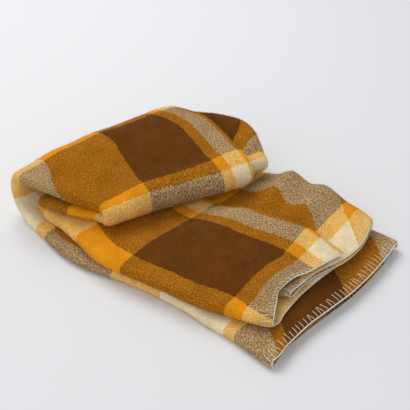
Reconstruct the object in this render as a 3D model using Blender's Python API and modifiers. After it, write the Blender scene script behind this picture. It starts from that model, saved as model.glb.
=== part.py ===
"""Folded wool blanket, one rectangular cloth lying as it was put down.

The cloth is folded lengthwise into a strip of four layers, then the strip is
doubled and its doubled end is turned back over itself at a slant.
"""

import math

import bpy
import numpy as np

# Sizes
GRID = 0.0115  # metres in one table unit
CLOTH = 0.35  # thickness of the cloth, in table units
NAME = "blanket"

# Points along the cross-section, from the inner flap outward
FLAP_POINTS = 8
INNER_FOLD_POINTS = 2
MIDDLE_POINTS = 13
SIDE_FOLD_POINTS = 4
BACK_POINTS = 12
OUTER_FOLD_POINTS = 5
FACE_POINTS = 15

# Turns of the strip: centre at its left and right side, height, radius, outward sign,
# and whether the face of the cloth lies outside the turn or inside it
TURNS = {
    "inner": dict(left=(-13.6, -18.8), right=(-8.4, 8.2), height=3.70, radius=0.95, out=-1, side=-1, steps=5),
    "front": dict(left=(-4.5, -16.3), right=(4.5, 8.1), height=5.60, radius=0.95, out=1, side=1, steps=6),
    "outer": dict(left=(-16.2, -19.8), right=(-10.2, 8.9), height=4.35, radius=3.50, out=-1, side=1, steps=9),
}

# Sections of the strip on each run, from end two to end one: left side, right side,
# spacing of the layers, reach of the face layer across the strip, rise of the side fold
# left x, left y, left z, right x, right y, right z, pitch, reach, rise
SEAT = [
    (23.8, -16.1, 2.92, 22.9, 8.6, 2.95, 0.60, 0.61, 0.20),
    (22.4, -16.8, 2.91, 22.1, 8.8, 2.93, 0.59, 0.62, 0.50),
    (20.4, -17.5, 2.90, 20.6, 9.0, 2.91, 0.58, 0.63, 0.80),
    (18.0, -18.2, 2.88, 18.4, 9.2, 2.88, 0.56, 0.64, 0.95),
    (15.2, -19.0, 2.86, 14.9, 9.5, 2.86, 0.54, 0.63, 2.20),
    (12.2, -19.5, 2.86, 12.2, 9.3, 2.86, 0.54, 0.62, 1.35),
    (9.0, -19.7, 2.83, 9.2, 9.6, 2.83, 0.52, 0.61, 2.40),
    (5.6, -20.2, 2.80, 7.0, 9.2, 2.80, 0.50, 0.61, 0.80),
    (2.2, -20.7, 2.77, 4.4, 8.8, 2.77, 0.50, 0.62, 0.10),
    (-1.6, -20.9, 2.75, 1.4, 8.6, 2.75, 0.50, 0.64, 0.00),
    (-5.6, -20.0, 2.75, -2.0, 8.4, 2.75, 0.48, 0.68, 0.00),
    (-9.8, -19.2, 2.75, -5.4, 8.3, 2.75, 0.44, 0.74, 0.00),
]
UNDER = [
    (-10.5, -18.2, 4.65, -5.1, 8.1, 4.65, 0.42, 0.84, 0.00),
    (-7.4, -17.2, 4.65, -0.4, 7.9, 4.65, 0.42, 0.85, 0.00),
]
TOP = [
    (-6.0, -16.8, 6.62, 2.7, 9.4, 6.62, 0.42, 0.84, 0.70),
    (-8.0, -17.6, 6.85, 0.4, 11.1, 6.80, 0.43, 0.83, 1.00),
    (-10.4, -18.4, 7.35, -2.2, 11.9, 7.00, 0.44, 0.84, 1.00),
    (-13.2, -19.2, 7.70, -5.8, 11.0, 7.45, 0.43, 0.90, 0.60),
]
FLOOR = [
    (-11.4, -20.8, 0.85, -6.0, 8.6, 0.85, 0.45, 0.84, 0.00),
    (-7.6, -21.5, 0.85, -3.0, 8.6, 0.85, 0.45, 0.82, 0.00),
    (-3.6, -21.5, 0.85, 0.2, 8.6, 0.85, 0.45, 0.80, 0.00),
    (0.4, -20.7, 0.85, 3.6, 8.6, 0.85, 0.45, 0.78, 0.00),
    (4.4, -19.9, 0.85, 7.0, 8.6, 0.85, 0.45, 0.76, 0.00),
    (8.4, -19.4, 0.85, 10.4, 8.6, 0.85, 0.45, 0.74, 0.00),
    (12.4, -19.2, 0.85, 13.8, 8.6, 0.85, 0.45, 0.74, 0.00),
    (16.4, -19.4, 0.85, 17.4, 8.7, 0.85, 0.45, 0.74, 0.00),
    (20.2, -19.3, 0.85, 21.0, 8.8, 0.85, 0.45, 0.76, 0.00),
    (23.4, -19.6, 0.85, 24.2, 8.9, 0.85, 0.45, 0.80, 0.00),
    (25.4, -19.8, 0.85, 26.0, 8.9, 0.85, 0.45, 0.84, 0.00),
    (26.6, -19.9, 0.85, 27.2, 8.8, 0.85, 0.45, 0.88, 0.00),
]

# Where the cut edges lie: y across the strip, then x of the face, inner and back layers
END_TWO = [
    (-16.0, 23.8, 22.8, 23.8),
    (-12.0, 21.6, 22.6, 23.2),
    (-8.6, 21.9, 22.6, 23.0),
    (-5.5, 23.0, 22.8, 23.1),
    (-1.0, 24.3, 24.2, 23.6),
    (2.4, 24.5, 24.5, 23.9),
    (5.5, 24.0, 23.9, 23.6),
    (8.8, 22.9, 22.8, 22.8),
]
END_ONE = [
    (-20.0, 26.6, 25.6, 26.7),
    (-16.0, 26.0, 24.9, 26.4),
    (-12.0, 26.3, 24.8, 26.5),
    (-8.0, 26.8, 25.0, 27.0),
    (-4.0, 27.3, 25.4, 27.5),
    (0.0, 27.4, 25.8, 27.6),
    (4.0, 27.3, 26.2, 27.4),
    (8.8, 26.8, 26.6, 26.9),
]

# How far the face layer stands out at the front turn: y, distance
FRONT_SWELL = [
    (-17.0, 0.0),
    (-11.0, 0.2),
    (-6.0, 0.7),
    (-1.0, 1.5),
    (3.0, 1.6),
    (6.0, 0.6),
]

# Soft ridges and troughs of the upper surface: run, ends of the crest in plan, height, half width
CRESTS = [
    # run, x0, y0, x1, y1, height, half width
    ("seat", 4.0, -3.4, 10.5, -3.0, 0.55, 1.9),
    ("seat", 13.2, -1.9, 16.0, -2.2, 0.85, 1.9),
    ("seat", 18.4, -1.6, 20.6, -2.0, 0.75, 1.7),
    ("seat", 17.0, -6.6, 22.4, -7.0, -0.45, 1.6),
    ("seat", 6.0, -9.6, 15.0, -12.4, 0.20, 3.0),
    ("seat", -1.5, -20.0, 0.0, -15.0, -0.10, 1.8),
    ("top", -14.5, -7.0, -8.5, -3.5, 0.35, 2.0),
    ("top", -7.0, -10.0, 0.0, -3.0, -0.25, 2.6),
    ("top", -14.0, -16.0, -8.0, -14.5, -0.25, 1.8),
    ("top", -3.0, 5.5, 2.5, 3.5, 0.30, 1.4),
]


# The front of the folded-back part in plan: x and y of its left corner, and its slant
PAD_FRONT = (-2.2, -17.0, 0.36)


def smooth(value, low, high):
    """Zero below low, one above high, with a soft step between."""
    t = np.clip((value - low) / (high - low), 0.0, 1.0)
    return t * t * (3.0 - 2.0 * t)


def crest(x, y, x0, y0, x1, y1, half_width):
    """One along a line in plan, falling softly to zero beside it."""
    length = (x1 - x0) ** 2 + (y1 - y0) ** 2
    t = min(max(((x - x0) * (x1 - x0) + (y - y0) * (y1 - y0)) / length, 0.0), 1.0)
    away = (x - x0 - t * (x1 - x0)) ** 2 + (y - y0 - t * (y1 - y0)) ** 2
    return math.exp(-away / half_width**2)


def fullness(run, x, y, inside, to_right):
    """Height by which the face layer stands above its plain packet."""
    if run == "seat":
        beyond = x - PAD_FRONT[0] - (y - PAD_FRONT[1]) * PAD_FRONT[2]
        clear = smooth(beyond, 1.6, 6.0)
        height = 0.95 * smooth(inside, 0.5, 6.5) * clear
        height -= 0.35 * smooth(x, 17.0, 24.0) * smooth(inside, 0.5, 4.0)
    else:
        height = 1.05 * smooth(inside, 0.5, 7.0) * smooth(to_right, -1.0, 5.0)
    for name, x0, y0, x1, y1, rise, half_width in CRESTS:
        if name == run:
            shape = crest(x, y, x0, y0, x1, y1, half_width) * smooth(inside, 0.0, 2.0)
            height += rise * shape * (clear if run == "seat" and rise > 0.0 else 1.0)
    return height


def turn_rows(name, pitch, reach_first, reach_last, rising):
    """Sections round one turn, as rows of the same columns as the tables."""
    turn = TURNS[name]
    left = np.array(turn["left"])
    right = np.array(turn["right"])
    across = (right - left) / np.linalg.norm(right - left)
    outward = turn["out"] * np.array((across[1], -across[0]))
    rows = []
    normals = []
    for k in range(turn["steps"]):
        s = k / (turn["steps"] - 1)
        angle = math.pi * (s - 0.5)
        angle = angle if rising else -angle
        out = turn["radius"] * math.cos(angle)
        height = turn["height"] + turn["radius"] * math.sin(angle)
        a = left + outward * out
        b = right + outward * out
        reach = reach_first + (reach_last - reach_first) * s
        rows.append((a[0], a[1], height, b[0], b[1], height, pitch, reach, 0.0))
        level = turn["side"] * math.cos(angle)
        normals.append((outward[0] * level, outward[1] * level, turn["side"] * math.sin(angle)))
    return rows, normals


def run_normals(rows, sign):
    """Upward or downward normals of a plain run, at its left and right side."""
    rows = np.array(rows)
    normals = []
    for i in range(len(rows)):
        before = max(i - 1, 0)
        after = min(i + 1, len(rows) - 1)
        across = rows[i, 3:6] - rows[i, 0:3]
        travel = rows[after, 0:3] - rows[before, 0:3] + rows[after, 3:6] - rows[before, 3:6]
        normal = np.cross(across, travel)
        normals.append(normal / np.linalg.norm(normal) * (1.0 if normal[2] * sign > 0.0 else -1.0))
    return normals


def sections():
    """Every section of the strip from end two to end one: names of runs, rows, normals."""
    inner, inner_normals = turn_rows("inner", 0.42, 0.78, 0.84, True)
    front, front_normals = turn_rows("front", 0.42, 0.86, 0.86, True)
    outer, outer_normals = turn_rows("outer", 0.42, 0.95, 0.86, False)
    runs = [("seat", SEAT, run_normals(SEAT, 1)), ("turn", inner, inner_normals)]
    runs += [("under", UNDER, run_normals(UNDER, -1)), ("front", front, front_normals)]
    runs += [("top", TOP, run_normals(TOP, 1)), ("outer", outer, outer_normals)]
    runs += [("floor", FLOOR, run_normals(FLOOR, -1))]
    names = [name for name, rows, _ in runs for _ in rows]
    rows = np.array([row for _, rows, _ in runs for row in rows])
    return names, rows, np.array([n for _, _, normals in runs for n in normals])


def cross_section(width, pitch, reach, rise):
    """Points of the folded layers across the strip: distance, height, share of fullness, layer."""
    low = -1.5 * pitch
    high = 1.5 * pitch
    top = 0.5 * pitch + rise
    side_radius = (top - low) / 2.0
    inner_radius = 0.5 * pitch
    flap_left = 0.22 * width
    flap_right = width - 2.6
    middle_right = width - side_radius
    back_left = high
    points = []
    for k in range(FLAP_POINTS):
        s = k / (FLAP_POINTS - 1)
        points.append((flap_right + (flap_left - flap_right) * s, -0.5 * pitch, 0.15, 0))
    for k in range(INNER_FOLD_POINTS):
        s = (k + 1) / (INNER_FOLD_POINTS + 1)
        across = flap_left - inner_radius * math.sin(math.pi * s)
        points.append((across, -inner_radius * math.cos(math.pi * s), 0.15 + 0.1 * s, 0))
    for k in range(MIDDLE_POINTS):
        s = k / (MIDDLE_POINTS - 1)
        across = flap_left + (middle_right - flap_left) * s
        lift = rise * smooth(across, width * reach + 0.3, width - 1.5)
        points.append((across, 0.5 * pitch + lift, 0.25, 1))
    for k in range(SIDE_FOLD_POINTS):
        s = (k + 1) / (SIDE_FOLD_POINTS + 1)
        across = middle_right + side_radius * math.sin(math.pi * s)
        height = (top + low) / 2.0 + side_radius * math.cos(math.pi * s)
        points.append((across, height, 0.25 - 0.15 * s, 2))
    for k in range(BACK_POINTS):
        s = k / (BACK_POINTS - 1)
        points.append((middle_right + (back_left - middle_right) * s, low, 0.1, 2))
    for k in range(OUTER_FOLD_POINTS):
        s = (k + 1) / (OUTER_FOLD_POINTS + 1)
        across = back_left - high * math.sin(math.pi * s)
        points.append((across, -high * math.cos(math.pi * s), 0.1 + 0.9 * s, 3))
    for k in range(FACE_POINTS):
        s = k / (FACE_POINTS - 1)
        points.append((back_left + (width * reach - back_left) * s, high, 1.0, 3))
    return points


def edge_shift(table, y, layer, x):
    """How far a cut edge lies from the plain line of its section."""
    rows = np.array(table)
    column = {3: 1, 1: 2, 0: 2, 2: 3}[layer]
    return np.interp(y, rows[:, 0], rows[:, column]) - x


def surface():
    """Mid-surface of the cloth, as a grid of sections by points, in table units."""
    names, rows, normals = sections()
    left = rows[:, 0:3]
    right = rows[:, 3:6]
    width = np.linalg.norm(right - left, axis=1)
    cuts = [cross_section(width[i], *rows[i, 6:9]) for i in range(len(rows))]
    grid = np.zeros((len(rows), len(cuts[0]), 3))
    last = len(rows) - 1
    for i in range(len(rows)):
        across = (right[i] - left[i]) / width[i]
        normal = normals[i]
        for j, (distance, height, share, layer) in enumerate(cuts[i]):
            part = distance / width[i]
            point = left[i] + across * distance + normal * height
            run = "seat" if names[i] == "seat" else "top"
            if names[i] == "seat" or names[i] in ("front", "top", "outer") and normal[2] > 0.0:
                full = fullness(run, point[0], point[1], distance, width[i] - distance)
                point = point + normal * full * share * normal[2]
            if names[i] == "front" and layer == 3:
                swell = np.array(FRONT_SWELL)
                out = np.interp(point[1], swell[:, 0], swell[:, 1]) * share
                point = point + np.array((normal[0], normal[1], 0.0)) * out
            near = {0: 1.0, 1: 0.6, 2: 0.25}
            if i in near:
                shift = edge_shift(END_TWO, point[1], layer, left[0][0] + (right[0][0] - left[0][0]) * part)
                point[0] += shift * near[i]
            if last - i in near:
                shift = edge_shift(END_ONE, point[1], layer, left[last][0] + (right[last][0] - left[last][0]) * part)
                point[0] += shift * near[last - i]
            grid[i, j] = point
    grid[:, :, 2] = np.maximum(grid[:, :, 2], CLOTH / 2.0)
    return grid


def build():
    grid = surface() * GRID
    count, across, _ = grid.shape
    faces = []
    for i in range(count - 1):
        for j in range(across - 1):
            a = i * across + j
            faces.append((a, a + 1, a + across + 1, a + across))
    mesh = bpy.data.meshes.new(NAME)
    mesh.from_pydata(grid.reshape(-1, 3).tolist(), [], faces)
    mesh.update()
    sheet = bpy.data.objects.new(NAME, mesh)
    collection = bpy.data.collections.new("wool blanket")
    bpy.context.scene.collection.children.link(collection)
    collection.objects.link(sheet)

    thickness = sheet.modifiers.new("thickness", "SOLIDIFY")
    thickness.thickness = CLOTH * GRID
    thickness.offset = 0.0
    bpy.context.view_layer.update()
    graph = bpy.context.evaluated_depsgraph_get()
    solid = bpy.data.meshes.new_from_object(sheet.evaluated_get(graph))
    sheet.modifiers.clear()
    sheet.data = solid

    corners = np.array([v.co for v in solid.vertices])
    middle = (corners.min(axis=0) + corners.max(axis=0)) / 2.0
    for v in solid.vertices:
        v.co.x -= middle[0]
        v.co.y -= middle[1]

    wool = bpy.data.materials.new("wool")
    wool.use_nodes = True
    shader = wool.node_tree.nodes["Principled BSDF"]
    shader.inputs["Base Color"].default_value = (0.45, 0.26, 0.08, 1.0)
    shader.inputs["Roughness"].default_value = 0.9
    solid.materials.append(wool)
    return middle


for old in list(bpy.data.objects):
    bpy.data.objects.remove(old, do_unlink=True)
centre = build()
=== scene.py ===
"""Looks of a folded wool blanket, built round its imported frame."""

import math

import bpy
import numpy as np
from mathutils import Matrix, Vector, noise
from mathutils.bvhtree import BVHTree


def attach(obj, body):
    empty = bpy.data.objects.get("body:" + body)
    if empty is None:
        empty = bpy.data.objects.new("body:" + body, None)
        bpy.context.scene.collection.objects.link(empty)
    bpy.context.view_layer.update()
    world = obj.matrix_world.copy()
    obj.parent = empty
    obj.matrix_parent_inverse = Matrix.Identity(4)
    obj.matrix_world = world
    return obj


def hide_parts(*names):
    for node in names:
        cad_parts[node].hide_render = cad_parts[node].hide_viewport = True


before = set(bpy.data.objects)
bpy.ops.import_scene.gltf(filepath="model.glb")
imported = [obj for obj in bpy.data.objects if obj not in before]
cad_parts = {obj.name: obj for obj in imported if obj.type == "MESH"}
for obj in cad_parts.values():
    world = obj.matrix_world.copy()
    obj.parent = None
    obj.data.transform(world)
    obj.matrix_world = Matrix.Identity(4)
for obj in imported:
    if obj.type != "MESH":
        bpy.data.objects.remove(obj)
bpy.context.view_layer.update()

# Sizes
GRID = 0.0115  # metres in one table unit
CLOTH = 0.35  # thickness of the cloth, in table units
CENTRE = (0.0418041, -0.0554902)  # where the part's own middle lies, in metres

# Points along the cross-section, from the inner flap outward
FLAP_POINTS = 8
INNER_FOLD_POINTS = 2
MIDDLE_POINTS = 13
SIDE_FOLD_POINTS = 4
BACK_POINTS = 12
OUTER_FOLD_POINTS = 5
FACE_POINTS = 15

# Turns of the strip: centre at its left and right side, height, radius, outward sign,
# and whether the face of the cloth lies outside the turn or inside it
TURNS = {
    "inner": dict(left=(-13.6, -18.8), right=(-8.4, 8.2), height=3.70, radius=0.95, out=-1, side=-1, steps=5),
    "front": dict(left=(-4.5, -16.3), right=(4.5, 8.1), height=5.60, radius=0.95, out=1, side=1, steps=6),
    "outer": dict(left=(-16.2, -19.8), right=(-10.2, 8.9), height=4.35, radius=3.50, out=-1, side=1, steps=9),
}

# Sections of the strip on each run, from end two to end one: left side, right side,
# spacing of the layers, reach of the face layer across the strip, rise of the side fold
# left x, left y, left z, right x, right y, right z, pitch, reach, rise
SEAT = [
    (23.8, -16.1, 2.92, 22.9, 8.6, 2.95, 0.60, 0.61, 0.20),
    (22.4, -16.8, 2.91, 22.1, 8.8, 2.93, 0.59, 0.62, 0.50),
    (20.4, -17.5, 2.90, 20.6, 9.0, 2.91, 0.58, 0.63, 0.80),
    (18.0, -18.2, 2.88, 18.4, 9.2, 2.88, 0.56, 0.64, 0.95),
    (15.2, -19.0, 2.86, 14.9, 9.5, 2.86, 0.54, 0.63, 2.20),
    (12.2, -19.5, 2.86, 12.2, 9.3, 2.86, 0.54, 0.62, 1.35),
    (9.0, -19.7, 2.83, 9.2, 9.6, 2.83, 0.52, 0.61, 2.40),
    (5.6, -20.2, 2.80, 7.0, 9.2, 2.80, 0.50, 0.61, 0.80),
    (2.2, -20.7, 2.77, 4.4, 8.8, 2.77, 0.50, 0.62, 0.10),
    (-1.6, -20.9, 2.75, 1.4, 8.6, 2.75, 0.50, 0.64, 0.00),
    (-5.6, -20.0, 2.75, -2.0, 8.4, 2.75, 0.48, 0.68, 0.00),
    (-9.8, -19.2, 2.75, -5.4, 8.3, 2.75, 0.44, 0.74, 0.00),
]
UNDER = [
    (-10.5, -18.2, 4.65, -5.1, 8.1, 4.65, 0.42, 0.84, 0.00),
    (-7.4, -17.2, 4.65, -0.4, 7.9, 4.65, 0.42, 0.85, 0.00),
]
TOP = [
    (-6.0, -16.8, 6.62, 2.7, 9.4, 6.62, 0.42, 0.84, 0.70),
    (-8.0, -17.6, 6.85, 0.4, 11.1, 6.80, 0.43, 0.83, 1.00),
    (-10.4, -18.4, 7.35, -2.2, 11.9, 7.00, 0.44, 0.84, 1.00),
    (-13.2, -19.2, 7.70, -5.8, 11.0, 7.45, 0.43, 0.90, 0.60),
]
FLOOR = [
    (-11.4, -20.8, 0.85, -6.0, 8.6, 0.85, 0.45, 0.84, 0.00),
    (-7.6, -21.5, 0.85, -3.0, 8.6, 0.85, 0.45, 0.82, 0.00),
    (-3.6, -21.5, 0.85, 0.2, 8.6, 0.85, 0.45, 0.80, 0.00),
    (0.4, -20.7, 0.85, 3.6, 8.6, 0.85, 0.45, 0.78, 0.00),
    (4.4, -19.9, 0.85, 7.0, 8.6, 0.85, 0.45, 0.76, 0.00),
    (8.4, -19.4, 0.85, 10.4, 8.6, 0.85, 0.45, 0.74, 0.00),
    (12.4, -19.2, 0.85, 13.8, 8.6, 0.85, 0.45, 0.74, 0.00),
    (16.4, -19.4, 0.85, 17.4, 8.7, 0.85, 0.45, 0.74, 0.00),
    (20.2, -19.3, 0.85, 21.0, 8.8, 0.85, 0.45, 0.76, 0.00),
    (23.4, -19.6, 0.85, 24.2, 8.9, 0.85, 0.45, 0.80, 0.00),
    (25.4, -19.8, 0.85, 26.0, 8.9, 0.85, 0.45, 0.84, 0.00),
    (26.6, -19.9, 0.85, 27.2, 8.8, 0.85, 0.45, 0.88, 0.00),
]

# Where the cut edges lie: y across the strip, then x of the face, inner and back layers
END_TWO = [
    (-16.0, 23.8, 22.8, 23.8),
    (-12.0, 21.6, 22.6, 23.2),
    (-8.6, 21.9, 22.6, 23.0),
    (-5.5, 23.0, 22.8, 23.1),
    (-1.0, 24.3, 24.2, 23.6),
    (2.4, 24.5, 24.5, 23.9),
    (5.5, 24.0, 23.9, 23.6),
    (8.8, 22.9, 22.8, 22.8),
]
END_ONE = [
    (-20.0, 26.6, 25.6, 26.7),
    (-16.0, 26.0, 24.9, 26.4),
    (-12.0, 26.3, 24.8, 26.5),
    (-8.0, 26.8, 25.0, 27.0),
    (-4.0, 27.3, 25.4, 27.5),
    (0.0, 27.4, 25.8, 27.6),
    (4.0, 27.3, 26.2, 27.4),
    (8.8, 26.8, 26.6, 26.9),
]

# How far the face layer stands out at the front turn: y, distance
FRONT_SWELL = [
    (-17.0, 0.0),
    (-11.0, 0.2),
    (-6.0, 0.7),
    (-1.0, 1.5),
    (3.0, 1.6),
    (6.0, 0.6),
]

# Soft ridges and troughs of the upper surface: run, ends of the crest in plan, height, half width
CRESTS = [
    # run, x0, y0, x1, y1, height, half width
    ("seat", 4.0, -3.4, 10.5, -3.0, 0.55, 1.9),
    ("seat", 13.2, -1.9, 16.0, -2.2, 0.85, 1.9),
    ("seat", 18.4, -1.6, 20.6, -2.0, 0.75, 1.7),
    ("seat", 17.0, -6.6, 22.4, -7.0, -0.45, 1.6),
    ("seat", 6.0, -9.6, 15.0, -12.4, 0.20, 3.0),
    ("seat", -1.5, -20.0, 0.0, -15.0, -0.10, 1.8),
    ("top", -14.5, -7.0, -8.5, -3.5, 0.35, 2.0),
    ("top", -7.0, -10.0, 0.0, -3.0, -0.25, 2.6),
    ("top", -14.0, -16.0, -8.0, -14.5, -0.25, 1.8),
    ("top", -3.0, 5.5, 2.5, 3.5, 0.30, 1.4),
]


# The front of the folded-back part in plan: x and y of its left corner, and its slant
PAD_FRONT = (-2.2, -17.0, 0.36)


def smooth(value, low, high):
    """Zero below low, one above high, with a soft step between."""
    t = np.clip((value - low) / (high - low), 0.0, 1.0)
    return t * t * (3.0 - 2.0 * t)


def crest(x, y, x0, y0, x1, y1, half_width):
    """One along a line in plan, falling softly to zero beside it."""
    length = (x1 - x0) ** 2 + (y1 - y0) ** 2
    t = min(max(((x - x0) * (x1 - x0) + (y - y0) * (y1 - y0)) / length, 0.0), 1.0)
    away = (x - x0 - t * (x1 - x0)) ** 2 + (y - y0 - t * (y1 - y0)) ** 2
    return math.exp(-away / half_width**2)


def fullness(run, x, y, inside, to_right):
    """Height by which the face layer stands above its plain packet."""
    if run == "seat":
        beyond = x - PAD_FRONT[0] - (y - PAD_FRONT[1]) * PAD_FRONT[2]
        clear = smooth(beyond, 1.6, 6.0)
        height = 0.95 * smooth(inside, 0.5, 6.5) * clear
        height -= 0.35 * smooth(x, 17.0, 24.0) * smooth(inside, 0.5, 4.0)
    else:
        height = 1.05 * smooth(inside, 0.5, 7.0) * smooth(to_right, -1.0, 5.0)
    for name, x0, y0, x1, y1, rise, half_width in CRESTS:
        if name == run:
            shape = crest(x, y, x0, y0, x1, y1, half_width) * smooth(inside, 0.0, 2.0)
            height += rise * shape * (clear if run == "seat" and rise > 0.0 else 1.0)
    return height


def turn_rows(name, pitch, reach_first, reach_last, rising):
    """Sections round one turn, as rows of the same columns as the tables."""
    turn = TURNS[name]
    left = np.array(turn["left"])
    right = np.array(turn["right"])
    across = (right - left) / np.linalg.norm(right - left)
    outward = turn["out"] * np.array((across[1], -across[0]))
    rows = []
    normals = []
    for k in range(turn["steps"]):
        s = k / (turn["steps"] - 1)
        angle = math.pi * (s - 0.5)
        angle = angle if rising else -angle
        out = turn["radius"] * math.cos(angle)
        height = turn["height"] + turn["radius"] * math.sin(angle)
        a = left + outward * out
        b = right + outward * out
        reach = reach_first + (reach_last - reach_first) * s
        rows.append((a[0], a[1], height, b[0], b[1], height, pitch, reach, 0.0))
        level = turn["side"] * math.cos(angle)
        normals.append((outward[0] * level, outward[1] * level, turn["side"] * math.sin(angle)))
    return rows, normals


def run_normals(rows, sign):
    """Upward or downward normals of a plain run, at its left and right side."""
    rows = np.array(rows)
    normals = []
    for i in range(len(rows)):
        before = max(i - 1, 0)
        after = min(i + 1, len(rows) - 1)
        across = rows[i, 3:6] - rows[i, 0:3]
        travel = rows[after, 0:3] - rows[before, 0:3] + rows[after, 3:6] - rows[before, 3:6]
        normal = np.cross(across, travel)
        normals.append(normal / np.linalg.norm(normal) * (1.0 if normal[2] * sign > 0.0 else -1.0))
    return normals


def sections():
    """Every section of the strip from end two to end one: names of runs, rows, normals."""
    inner, inner_normals = turn_rows("inner", 0.42, 0.78, 0.84, True)
    front, front_normals = turn_rows("front", 0.42, 0.86, 0.86, True)
    outer, outer_normals = turn_rows("outer", 0.42, 0.95, 0.86, False)
    runs = [("seat", SEAT, run_normals(SEAT, 1)), ("turn", inner, inner_normals)]
    runs += [("under", UNDER, run_normals(UNDER, -1)), ("front", front, front_normals)]
    runs += [("top", TOP, run_normals(TOP, 1)), ("outer", outer, outer_normals)]
    runs += [("floor", FLOOR, run_normals(FLOOR, -1))]
    names = [name for name, rows, _ in runs for _ in rows]
    rows = np.array([row for _, rows, _ in runs for row in rows])
    return names, rows, np.array([n for _, _, normals in runs for n in normals])


def cross_section(width, pitch, reach, rise):
    """Points of the folded layers across the strip: distance, height, share of fullness, layer."""
    low = -1.5 * pitch
    high = 1.5 * pitch
    top = 0.5 * pitch + rise
    side_radius = (top - low) / 2.0
    inner_radius = 0.5 * pitch
    flap_left = 0.22 * width
    flap_right = width - 2.6
    middle_right = width - side_radius
    back_left = high
    points = []
    for k in range(FLAP_POINTS):
        s = k / (FLAP_POINTS - 1)
        points.append((flap_right + (flap_left - flap_right) * s, -0.5 * pitch, 0.15, 0))
    for k in range(INNER_FOLD_POINTS):
        s = (k + 1) / (INNER_FOLD_POINTS + 1)
        across = flap_left - inner_radius * math.sin(math.pi * s)
        points.append((across, -inner_radius * math.cos(math.pi * s), 0.15 + 0.1 * s, 0))
    for k in range(MIDDLE_POINTS):
        s = k / (MIDDLE_POINTS - 1)
        across = flap_left + (middle_right - flap_left) * s
        lift = rise * smooth(across, width * reach + 0.3, width - 1.5)
        points.append((across, 0.5 * pitch + lift, 0.25, 1))
    for k in range(SIDE_FOLD_POINTS):
        s = (k + 1) / (SIDE_FOLD_POINTS + 1)
        across = middle_right + side_radius * math.sin(math.pi * s)
        height = (top + low) / 2.0 + side_radius * math.cos(math.pi * s)
        points.append((across, height, 0.25 - 0.15 * s, 2))
    for k in range(BACK_POINTS):
        s = k / (BACK_POINTS - 1)
        points.append((middle_right + (back_left - middle_right) * s, low, 0.1, 2))
    for k in range(OUTER_FOLD_POINTS):
        s = (k + 1) / (OUTER_FOLD_POINTS + 1)
        across = back_left - high * math.sin(math.pi * s)
        points.append((across, -high * math.cos(math.pi * s), 0.1 + 0.9 * s, 3))
    for k in range(FACE_POINTS):
        s = k / (FACE_POINTS - 1)
        points.append((back_left + (width * reach - back_left) * s, high, 1.0, 3))
    return points


def edge_shift(table, y, layer, x):
    """How far a cut edge lies from the plain line of its section."""
    rows = np.array(table)
    column = {3: 1, 1: 2, 0: 2, 2: 3}[layer]
    return np.interp(y, rows[:, 0], rows[:, column]) - x


def surface():
    """Mid-surface of the cloth, as a grid of sections by points, in table units."""
    names, rows, normals = sections()
    left = rows[:, 0:3]
    right = rows[:, 3:6]
    width = np.linalg.norm(right - left, axis=1)
    cuts = [cross_section(width[i], *rows[i, 6:9]) for i in range(len(rows))]
    grid = np.zeros((len(rows), len(cuts[0]), 3))
    last = len(rows) - 1
    for i in range(len(rows)):
        across = (right[i] - left[i]) / width[i]
        normal = normals[i]
        for j, (distance, height, share, layer) in enumerate(cuts[i]):
            part = distance / width[i]
            point = left[i] + across * distance + normal * height
            run = "seat" if names[i] == "seat" else "top"
            if names[i] == "seat" or names[i] in ("front", "top", "outer") and normal[2] > 0.0:
                full = fullness(run, point[0], point[1], distance, width[i] - distance)
                point = point + normal * full * share * normal[2]
            if names[i] == "front" and layer == 3:
                swell = np.array(FRONT_SWELL)
                out = np.interp(point[1], swell[:, 0], swell[:, 1]) * share
                point = point + np.array((normal[0], normal[1], 0.0)) * out
            near = {0: 1.0, 1: 0.6, 2: 0.25}
            if i in near:
                shift = edge_shift(END_TWO, point[1], layer, left[0][0] + (right[0][0] - left[0][0]) * part)
                point[0] += shift * near[i]
            if last - i in near:
                shift = edge_shift(END_ONE, point[1], layer, left[last][0] + (right[last][0] - left[last][0]) * part)
                point[0] += shift * near[last - i]
            grid[i, j] = point
    grid[:, :, 2] = np.maximum(grid[:, :, 2], CLOTH / 2.0)
    return grid


# Fineness of the cloth's surface
STEP_ALONG = 0.62
STEP_ACROSS = 0.52
EDGE_ROUND = 0.20  # distance over which the cloth thins to its rounded edge
EDGE_SAMPLES = (0.015, 0.05, 0.11, 0.2, 0.4)

# Yarn bands along the strip from end two, and across it from the face's selvedge
BANDS_ALONG = [
    # start, yarn
    (-9.0, "cream"),
    (2.6, "mustard"),
    (5.0, "brown"),
    (19.3, "mustard"),
    (27.8, "cream"),
    (34.5, "mustard"),
    (36.6, "brown"),
    (41.5, "mustard"),
    (46.8, "cream"),
    (51.5, "mustard"),
    (52.6, "brown"),
    (66.8, "mustard"),
    (73.5, "cream"),
    (80.0, "mustard"),
    (82.0, "brown"),
    (93.4, "mustard"),
    (100.2, "cream"),
    (110.0, "mustard"),
    (111.9, "brown"),
]
BANDS_ACROSS = [
    (-1.0, "mustard"),
    (0.7, "cream"),
    (3.0, "mustard"),
    (5.0, "brown"),
    (15.8, "mustard"),
    (26.4, "cream"),
    (33.2, "mustard"),
    (35.3, "brown"),
    (46.7, "mustard"),
    (56.2, "cream"),
    (62.0, "mustard"),
    (67.5, "brown"),
    (79.0, "mustard"),
    (88.0, "cream"),
]
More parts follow.
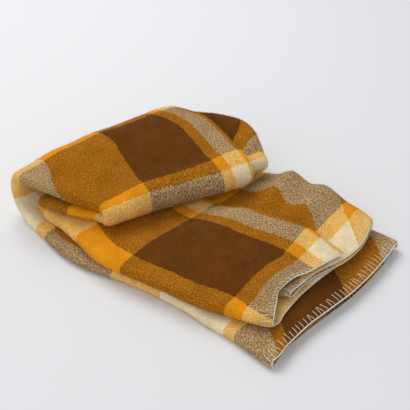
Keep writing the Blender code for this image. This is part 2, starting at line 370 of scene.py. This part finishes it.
# How far the bands lie from their plain distance across the cloth, on each run
BAND_SHIFT = {
    # run: distances across, shifts
    "seat": ((27.0, 45.0), (0.0, 7.0)),
    "turn": ((27.0, 45.0), (0.0, 7.0)),
    "under": ((27.0, 45.0), (0.0, 7.0)),
    "front": ((27.0, 45.0), (0.0, 7.0)),
    "top": ((27.0, 45.0), (0.0, 7.0)),
    "outer": ((10.0, 18.0, 27.0, 45.0), (0.0, 3.0, 3.0, 6.0)),
    "floor": ((10.0, 18.0), (0.0, 6.2)),
}
YARNS = {
    "brown": (0.135, 0.043, 0.0045, 1.0),
    "mustard": (0.76, 0.30, 0.007, 1.0),
    "cream": (0.86, 0.73, 0.47, 1.0),
}
THREAD = (0.86, 0.78, 0.64, 1.0)


def smooth_weights(knots, at):
    """Weights that pass a smooth curve through values given at the knots."""
    count = len(knots)
    gaps = np.diff(knots)
    slopes = np.zeros((count, count))
    for i in range(count):
        before = gaps[i - 1] if i else gaps[0]
        after = gaps[i] if i < count - 1 else gaps[-1]
        share = after / (before + after) if 0 < i < count - 1 else float(i > 0)
        if i > 0:
            slopes[i, i] += share / before
            slopes[i, i - 1] -= share / before
        if i < count - 1:
            slopes[i, i + 1] += (1.0 - share) / after
            slopes[i, i] -= (1.0 - share) / after
    weights = np.zeros((len(at), count))
    for row, value in enumerate(at):
        i = min(max(int(np.searchsorted(knots, value, side="right")) - 1, 0), count - 2)
        t = (value - knots[i]) / gaps[i]
        weights[row, i] += 2.0 * t**3 - 3.0 * t**2 + 1.0
        weights[row, i + 1] += 3.0 * t**2 - 2.0 * t**3
        weights[row] += (t**3 - 2.0 * t**2 + t) * gaps[i] * slopes[i]
        weights[row] += (t**3 - t**2) * gaps[i] * slopes[i + 1]
    return weights


def fine_samples(knots, step):
    """Evenly spaced places between the knots, with a few more beside both ends."""
    places = []
    for a, b in zip(knots[:-1], knots[1:]):
        parts = max(1, math.ceil((b - a) / step - 0.2))
        places += [a + (b - a) * k / parts for k in range(parts)]
    places.append(knots[-1])
    near = EDGE_SAMPLES[-1]
    inner = [p for p in places if knots[0] + near * 1.3 < p < knots[-1] - near * 1.3]
    low = [knots[0]] + [knots[0] + d for d in EDGE_SAMPLES]
    high = [knots[-1] - d for d in reversed(EDGE_SAMPLES)] + [knots[-1]]
    return np.array(low + inner + high)


def grid_normals(grid):
    """Unit normals of a grid of points."""
    along = np.gradient(grid, axis=0)
    across = np.gradient(grid, axis=1)
    normal = np.cross(across, along)
    return normal / np.maximum(np.linalg.norm(normal, axis=2, keepdims=True), 1e-9)


def lengths(grid, axis):
    """Distance along the grid lines of one axis, from its first point."""
    steps = np.linalg.norm(np.diff(grid, axis=axis), axis=2)
    total = np.cumsum(steps, axis=axis)
    return np.insert(total, 0, 0.0, axis=axis)


def fine_cloth():
    """Mid-surface, its normals, half thickness, and place on the flat cloth, in table units."""
    coarse = surface()
    along = lengths(coarse, 0).mean(axis=1)
    across = lengths(coarse, 1).mean(axis=0)
    at_along = fine_samples(along, STEP_ALONG)
    at_across = fine_samples(across, STEP_ACROSS)
    weights_along = smooth_weights(along, at_along)
    weights_across = smooth_weights(across, at_across)
    grid = np.einsum("ai,ijk,bj->abk", weights_along, coarse, weights_across)
    names = sections()[0]
    nearest = [int(np.abs(along - s).argmin()) for s in at_along]
    runs = [names[i] for i in nearest]
    grid = add_creases(grid, runs)
    grid[:, :, 2] = np.maximum(grid[:, :, 2], CLOTH / 2.0)
    normals = grid_normals(grid)
    flat_u = np.repeat(at_along[:, None], grid.shape[1], axis=1)
    walked = lengths(grid, 1)
    flat_v = band_places(walked[:, -1:] - walked, runs)
    edge_u = np.minimum(at_along - at_along[0], at_along[-1] - at_along)[:, None]
    edge_v = np.minimum(at_across - at_across[0], at_across[-1] - at_across)[None, :]
    inside = np.clip(np.minimum(edge_u, edge_v) / EDGE_ROUND, 0.0, 1.0)
    half = CLOTH / 2.0 * np.sqrt(np.maximum(1.0 - (1.0 - inside) ** 2, 0.0))
    return dict(grid=grid, normals=normals, half=half, u=flat_u, v=flat_v, runs=runs)


def band_places(distance, runs):
    """Distance across the cloth, shifted so that the bands fall where they should on each run."""
    shifts = np.array([np.interp(distance[i], *BAND_SHIFT[run]) for i, run in enumerate(runs)])
    width = 4
    padded = np.concatenate([shifts[:1]] * width + [shifts] + [shifts[-1:]] * width)
    soft = sum(padded[k : k + len(shifts)] for k in range(2 * width + 1)) / (2 * width + 1)
    return distance + soft


def add_creases(grid, runs):
    """Returns the grid unchanged; no fine troughs or ridges of the upper surfaces are added."""
    return grid


def to_metres(points):
    """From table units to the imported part's place."""
    moved = np.array(points, float) * GRID
    moved[..., 0] -= CENTRE[0]
    moved[..., 1] -= CENTRE[1]
    return moved


def make_mesh(name, points, faces, flat=None, shade_smooth=True):
    mesh = bpy.data.meshes.new(name)
    mesh.from_pydata(points.tolist(), [], faces)
    mesh.update()
    if flat is not None:
        attribute = mesh.attributes.new("flat", "FLOAT_VECTOR", "POINT")
        attribute.data.foreach_set("vector", np.asarray(flat, np.float32).ravel())
    if shade_smooth:
        mesh.polygons.foreach_set("use_smooth", [True] * len(mesh.polygons))
    piece = bpy.data.objects.new(name, mesh)
    bpy.context.scene.collection.objects.link(piece)
    return piece


def cloth_piece(cloth):
    """Closed sheet: both sides of the cloth, sharing the points along its rim."""
    grid, normals, half = cloth["grid"], cloth["normals"], cloth["half"]
    rows, columns = half.shape
    upper = grid + normals * half[:, :, None]
    lower = grid - normals * half[:, :, None]
    lower[:, :, 2] = np.maximum(lower[:, :, 2], 0.0)
    upper[:, :, 2] = np.maximum(upper[:, :, 2], 0.0)
    index_up = np.arange(rows * columns).reshape(rows, columns)
    index_low = index_up.copy()
    inner = np.zeros((rows, columns), bool)
    inner[1:-1, 1:-1] = True
    index_low[inner] = rows * columns + np.arange(inner.sum())
    points = np.concatenate([upper.reshape(-1, 3), lower[inner]])
    flat = np.stack([cloth["u"], cloth["v"], np.zeros_like(half)], axis=2)
    flat_low = flat.copy()
    flat_low[:, :, 2] = 7.0
    flat = np.concatenate([flat.reshape(-1, 3), flat_low[inner]])
    faces = []
    for index, turned in ((index_up, False), (index_low, True)):
        a, b = index[:-1, :-1].ravel(), index[:-1, 1:].ravel()
        c, d = index[1:, 1:].ravel(), index[1:, :-1].ravel()
        quads = np.stack([a, d, c, b] if turned else [a, b, c, d], axis=1)
        faces += quads.tolist()
    return make_mesh("blanket_cloth", to_metres(points), faces, flat)


def spots(cloth, rows, columns):
    """Points, normals, half thickness and flat places at fractional rows and columns."""
    top_row, top_column = cloth["half"].shape[0] - 1, cloth["half"].shape[1] - 1
    rows = np.clip(np.asarray(rows, float), 0, top_row - 1e-6)
    columns = np.clip(np.asarray(columns, float), 0, top_column - 1e-6)
    i, j = rows.astype(int), columns.astype(int)
    s, t = (rows - i)[..., None], (columns - j)[..., None]
    found = []
    for key in ("grid", "normals", "half", "u", "v"):
        field = cloth[key]
        if field.ndim == 2:
            field = field[:, :, None]
        near = field[i, j] * (1 - t) + field[i, j + 1] * t
        far = field[i + 1, j] * (1 - t) + field[i + 1, j + 1] * t
        found.append(near * (1 - s) + far * s)
    point, normal, half, u, v = found
    normal = normal / np.maximum(np.linalg.norm(normal, axis=-1, keepdims=True), 1e-9)
    return point, normal, half[..., 0], u[..., 0], v[..., 0]


def tube(path, radius, sides, points, faces):
    """Adds a round thread along a path. The radius may vary along it."""
    path = np.asarray(path, float)
    radius = np.broadcast_to(radius, len(path))
    travel = np.gradient(path, axis=0)
    travel /= np.maximum(np.linalg.norm(travel, axis=1, keepdims=True), 1e-9)
    side = np.cross(travel, (0.31, 0.17, 0.93))
    side /= np.maximum(np.linalg.norm(side, axis=1, keepdims=True), 1e-9)
    other = np.cross(travel, side)
    first = len(points)
    for k in range(len(path)):
        for m in range(sides):
            angle = 2.0 * math.pi * m / sides
            offset = side[k] * math.cos(angle) + other[k] * math.sin(angle)
            points.append(path[k] + offset * radius[k])
    for k in range(len(path) - 1):
        for m in range(sides):
            a = first + k * sides + m
            b = first + k * sides + (m + 1) % sides
            faces.append((a, b, b + sides, a + sides))
    faces.append(tuple(first + m for m in reversed(range(sides))))
    last = first + (len(path) - 1) * sides
    faces.append(tuple(last + m for m in range(sides)))


# Overlocked blanket stitch of the cut ends
TOOTH_SPACING = 0.68
TOOTH_LENGTH = 1.02
TOOTH_RADIUS = 0.042
CHAIN_RADIUS = 0.085


def stitch_piece(cloth, name, first_end, rng):
    """Chain along one cut end with slanting teeth on both faces."""
    last_row = cloth["half"].shape[0] - 1
    u = cloth["u"][:, 0]
    depth = u - u[0] if first_end else u[-1] - u
    order = np.argsort(depth)
    row_at = lambda d: np.interp(d, depth[order], np.arange(last_row + 1)[order])
    end_row = 0 if first_end else last_row
    walked = cloth["v"][end_row]
    columns = np.arange(len(walked))
    column_at = lambda v: np.interp(v, walked[::-1], columns[::-1])
    total = walked[0]
    points, faces = [], []
    along = np.arange(0.05, total - 0.05, 0.16)
    here, _, _, _, _ = spots(cloth, np.full(len(along), end_row), column_at(along))
    inward, _, _, _, _ = spots(cloth, np.full(len(along), row_at(0.3)), column_at(along))
    outward = here - inward
    outward /= np.maximum(np.linalg.norm(outward, axis=1, keepdims=True), 1e-9)
    chain = here + outward * 0.035
    beat = CHAIN_RADIUS * (1.0 + 0.16 * np.sin(along * 2.0 * math.pi / TOOTH_SPACING))
    tube(chain, beat, 8, points, faces)
    place = 0.2
    while place < total - 0.2:
        place += TOOTH_SPACING * (1.0 + rng.uniform(-0.12, 0.12))
        for side in (-1.0, 1.0):
            slant = 0.24 * (1.0 if rng.random() < 0.75 else -0.6) + rng.uniform(-0.08, 0.08)
            reach = TOOTH_LENGTH * (1.0 + rng.uniform(-0.12, 0.1))
            path = []
            for part, lift in ((-0.05, 0.0), (0.06, 0.75), (0.3, 1.0), (0.65, 1.0), (0.97, 1.0), (1.05, 0.4)):
                depth_here = max(part, 0.0) * reach
                column = column_at(min(max(place + slant * part, 0.0), total))
                point, normal, half, _, _ = spots(cloth, row_at(depth_here), column)
                path.append(point + normal * side * (half + 0.03) * lift)
            tube(path, TOOTH_RADIUS, 5, points, faces)
    return make_mesh(name, to_metres(np.array(points)), faces)


# Raised nap
NAP_PIECES = 2
NAP_FIBRES = 190000
NAP_SHORT = 0.14
NAP_LONG = 0.34


def nap_pieces(cloth, sheet, rng):
    """Short wool fibres standing out of every side of the cloth that is not covered."""
    grid, normals, half = cloth["grid"], cloth["normals"], cloth["half"]
    a, b = grid[:-1, :-1], grid[:-1, 1:]
    c, d = grid[1:, 1:], grid[1:, :-1]
    area = 0.5 * np.linalg.norm(np.cross(c - a, d - b), axis=2)
    corners = [v.co for v in sheet.data.vertices]
    quads = [p.vertices[:] for p in sheet.data.polygons]
    tree = BVHTree.FromPolygons(corners, quads)
    rows, columns = area.shape
    exposed = {}
    for side in (-1.0, 1.0):
        open_here = np.zeros((rows, columns), bool)
        middle = (a + b + c + d) / 4.0
        normal = normals[:-1, :-1] + normals[1:, 1:]
        normal /= np.maximum(np.linalg.norm(normal, axis=2, keepdims=True), 1e-9)
        start = to_metres(middle + normal * side * (CLOTH / 2.0 + 0.04))
        for i in range(rows):
            for j in range(columns):
                if start[i, j, 2] < 0.0006:
                    continue
                hit = tree.ray_cast(Vector(start[i, j]), Vector(normal[i, j] * side), 0.009)
                open_here[i, j] = hit[0] is None
        exposed[side] = open_here
    weights = np.concatenate([(area * exposed[side]).ravel() for side in (-1.0, 1.0)])
    made = []
    for number in range(NAP_PIECES):
        picked = rng.choice(len(weights), NAP_FIBRES, p=weights / weights.sum())
        side = np.where(picked >= rows * columns, 1.0, -1.0)
        cell = picked % (rows * columns)
        at_row = cell // columns + rng.random(NAP_FIBRES)
        at_column = cell % columns + rng.random(NAP_FIBRES)
        point, normal, thick, u, v = spots(cloth, at_row, at_column)
        outward = normal * side[:, None]
        ahead = spots(cloth, at_row + 0.3, at_column)[0] - spots(cloth, at_row - 0.3, at_column)[0]
        ahead /= np.maximum(np.linalg.norm(ahead, axis=1, keepdims=True), 1e-9)
        wild = rng.normal(size=(NAP_FIBRES, 3))
        lean = outward * 0.75 + ahead * 0.35 + wild * 0.38
        lean /= np.linalg.norm(lean, axis=1, keepdims=True)
        length = rng.uniform(NAP_SHORT, NAP_LONG, NAP_FIBRES)[:, None]
        root = point + outward * (thick[:, None] - 0.03)
        tip = root + lean * length
        width = np.cross(lean, rng.normal(size=(NAP_FIBRES, 3)))
        width /= np.maximum(np.linalg.norm(width, axis=1, keepdims=True), 1e-9)
        width *= rng.uniform(0.009, 0.016, NAP_FIBRES)[:, None]
        points = np.stack([root - width, root + width, tip], axis=1).reshape(-1, 3)
        points[:, 2] = np.maximum(points[:, 2], 0.002)
        flat = np.stack([u, v, rng.random(NAP_FIBRES)], axis=1).repeat(3, axis=0)
        faces = np.arange(NAP_FIBRES * 3).reshape(-1, 3).tolist()
        made.append(make_mesh(f"nap_{number + 1}", to_metres(points), faces, flat))
    return made


# Materials


class Nodes:
    """Short way to add and link the nodes of one material."""

    def __init__(self, name):
        self.material = bpy.data.materials.new(name)
        self.material.use_nodes = True
        self.tree = self.material.node_tree
        self.shader = self.tree.nodes["Principled BSDF"]

    def add(self, kind, settings=(), **inputs):
        node = self.tree.nodes.new(kind)
        for key, value in dict(settings).items():
            setattr(node, key, value)
        for key, value in inputs.items():
            socket = node.inputs[int(key[1:])] if key[0] == "i" and key[1:].isdigit() else node.inputs[key]
            self.put(socket, value)
        return node

    def put(self, socket, value):
        if isinstance(value, bpy.types.NodeSocket):
            self.tree.links.new(value, socket)
        else:
            socket.default_value = value

    def math(self, operation, a, b=0.0, c=0.0):
        node = self.add("ShaderNodeMath", {"operation": operation}, i0=a, i1=b, i2=c)
        return node.outputs[0]

    def mix(self, factor, a, b, blend="MIX"):
        node = self.add("ShaderNodeMix", {"data_type": "RGBA", "blend_type": blend})
        self.put(node.inputs["Factor"], factor)
        self.put(node.inputs[6], a)
        self.put(node.inputs[7], b)
        return node.outputs[2]

    def noise(self, vector, scale, detail=2.0, rough=0.5):
        node = self.add("ShaderNodeTexNoise", Scale=scale, Detail=detail, Roughness=rough)
        self.put(node.inputs["Vector"], vector)
        return node.outputs["Fac"]

    def spread(self, value, low, high, to_low=0.0, to_high=1.0):
        node = self.add("ShaderNodeMapRange", i0=value, i1=low, i2=high, i3=to_low, i4=to_high)
        return node.outputs[0]

    def bands(self, place, table, total):
        """Yarn colour at a place along a table of bands."""
        low = table[0][0]
        share = self.math("DIVIDE", self.math("SUBTRACT", place, low), total - low)
        ramp = self.add("ShaderNodeValToRGB", Fac=share)
        ramp.color_ramp.interpolation = "CONSTANT"
        stops = ramp.color_ramp.elements
        stops[0].position = 0.0
        stops[0].color = YARNS[table[0][1]]
        stops.remove(stops[1])
        for start, yarn in table[1:]:
            stop = stops.new((start - low) / (total - low))
            stop.color = YARNS[yarn]
        return ramp.outputs[0]


def wool_material(name, fibre):
    """Brushed wool woven in a block plaid, from each point's place on the flat cloth."""
    n = Nodes(name)
    flat = n.add("ShaderNodeAttribute", {"attribute_name": "flat"}).outputs["Vector"]
    split = n.add("ShaderNodeSeparateXYZ", Vector=flat)
    plan = n.add("ShaderNodeCombineXYZ", X=split.outputs[0], Y=split.outputs[1], Z=0.0).outputs[0]
    stray = n.math("MULTIPLY", n.math("SUBTRACT", n.noise(plan, 2.6, 3.0, 0.7), 0.5), 0.55)
    shift = n.math("MULTIPLY", n.math("SUBTRACT", n.noise(plan, 3.1, 3.0, 0.7), 0.5), 0.55)
    along = n.math("ADD", split.outputs[0], stray)
    across = n.math("ADD", split.outputs[1], shift)
    weft = n.bands(along, BANDS_ALONG, 130.0)
    warp = n.bands(across, BANDS_ACROSS, 110.0)
    grain = n.noise(plan, 5.2, 1.0, 0.5)
    if fibre:
        grain = n.math("ADD", n.math("MULTIPLY", grain, 0.7), n.math("MULTIPLY", split.outputs[2], 0.3))
    pick = n.spread(grain, 0.40, 0.60)
    picked = n.mix(pick, weft, warp)
    crossed = n.mix(1.0, weft, warp, "MULTIPLY")
    blended = n.add("ShaderNodeGamma", Color=crossed, Gamma=0.5).outputs[0]
    woven = n.mix(0.42, blended, picked)
    patches = n.spread(n.noise(plan, 0.33, 3.0, 0.6), 0.3, 0.7, 0.86, 1.12)
    specks = n.spread(n.noise(plan, 5.5, 2.0, 0.8), 0.3, 0.7, 0.80, 1.20)
    level = n.math("MULTIPLY", patches, specks)
    if fibre:
        level = n.math("MULTIPLY", level, n.spread(split.outputs[2], 0.0, 1.0, 0.85, 1.3))
    tone = n.add("ShaderNodeCombineColor", i0=level, i1=level, i2=level).outputs[0]
    n.put(n.shader.inputs["Base Color"], n.mix(1.0, woven, tone, "MULTIPLY"))
    n.shader.inputs["Roughness"].default_value = 0.95
    n.shader.inputs["Specular IOR Level"].default_value = 0.05
    n.shader.inputs["Sheen Weight"].default_value = 0.10
    n.shader.inputs["Sheen Roughness"].default_value = 0.5
    n.shader.inputs["Sheen Tint"].default_value = (1.0, 0.78, 0.5, 1.0)
    if not fibre:
        fine = n.noise(plan, 6.5, 3.0, 0.7)
        coarse = n.noise(plan, 1.6, 3.0, 0.6)
        height = n.math("ADD", n.math("MULTIPLY", fine, 0.5), n.math("MULTIPLY", coarse, 0.9))
        bump = n.add("ShaderNodeBump", Strength=0.55, Distance=0.0014, Height=height)
        n.put(n.shader.inputs["Normal"], bump.outputs[0])
    return n.material


def thread_material():
    n = Nodes("stitch_thread")
    place = n.add("ShaderNodeTexCoord").outputs["Object"]
    tone = n.spread(n.noise(place, 900.0, 2.0, 0.6), 0.3, 0.7, 0.82, 1.08)
    colour = n.add("ShaderNodeCombineColor", i0=tone, i1=tone, i2=tone).outputs[0]
    n.put(n.shader.inputs["Base Color"], n.mix(1.0, THREAD, colour, "MULTIPLY"))
    n.shader.inputs["Roughness"].default_value = 0.8
    n.shader.inputs["Sheen Weight"].default_value = 0.2
    return n.material


def floor_material():
    n = Nodes("pale_floor")
    n.shader.inputs["Base Color"].default_value = (0.80, 0.81, 0.83, 1.0)
    n.shader.inputs["Roughness"].default_value = 0.9
    return n.material


# The scene round the object
FOCAL = 869.0 / 410.0 * 36.0
DISTANCE = 128.0
AZIMUTH = math.radians(39.6)
ELEVATION = math.radians(37.0)


def camera_axes():
    right = Vector((math.cos(AZIMUTH), math.sin(AZIMUTH), 0.0))
    level = Vector((-math.sin(AZIMUTH), math.cos(AZIMUTH), 0.0))
    forward = level * math.cos(ELEVATION) - Vector((0.0, 0.0, math.sin(ELEVATION)))
    return right, level, forward


def make_camera():
    right, level, forward = camera_axes()
    data = bpy.data.cameras.new("camera")
    data.lens = FOCAL
    data.sensor_width = 36.0
    data.clip_start = 0.02
    camera = bpy.data.objects.new("camera", data)
    camera.location = -forward * DISTANCE * GRID - Vector((CENTRE[0], CENTRE[1], 0.0))
    camera.rotation_mode = "QUATERNION"
    camera.rotation_quaternion = forward.to_track_quat("-Z", "Y")
    bpy.context.scene.collection.objects.link(camera)
    bpy.context.scene.camera = camera


def area_light(name, side, back, height, size, power, colour):
    """Soft light placed in the camera's own sense of sideways and back, aimed at the object."""
    right, level, _ = camera_axes()
    data = bpy.data.lights.new(name, "AREA")
    data.size = size
    data.energy = power
    data.color = colour
    light = bpy.data.objects.new(name, data)
    light.location = right * side + level * back + Vector((0.0, 0.0, height))
    light.rotation_mode = "QUATERNION"
    light.rotation_quaternion = (-light.location).to_track_quat("-Z", "Y")
    bpy.context.scene.collection.objects.link(light)


def studio():
    world = bpy.data.worlds.new("studio")
    world.use_nodes = True
    background = world.node_tree.nodes["Background"]
    background.inputs[0].default_value = (0.95, 0.97, 1.0, 1.0)
    background.inputs[1].default_value = 0.50
    bpy.context.scene.world = world
    area_light("key", -0.9, 1.2, 2.4, 2.0, 46.0, (1.0, 0.985, 0.96))
    area_light("fill", -0.8, -1.9, 1.5, 2.0, 12.0, (1.0, 0.98, 0.95))
    half = 6.0
    corners = [(-half, -half, 0.0), (half, -half, 0.0), (half, half, 0.0), (-half, half, 0.0)]
    floor = make_mesh("floor", np.array(corners), [(0, 1, 2, 3)], shade_smooth=False)
    floor.data.materials.append(floor_material())
    bpy.context.scene.view_settings.view_transform = "Standard"


# Building
rng = np.random.default_rng(11)
cloth = fine_cloth()
sheet = cloth_piece(cloth)
sheet.data.materials.append(wool_material("wool_cloth", False))
stitches = [
    stitch_piece(cloth, "stitch_end_two", True, rng),
    stitch_piece(cloth, "stitch_end_one", False, rng),
]
thread = thread_material()
for piece in stitches:
    piece.data.materials.append(thread)
nap = nap_pieces(cloth, sheet, rng)
fibre = wool_material("wool_nap", True)
for piece in nap:
    piece.data.materials.append(fibre)

for piece in (sheet, *stitches, *nap):
    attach(piece, "root")
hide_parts("blanket")

make_camera()
studio()
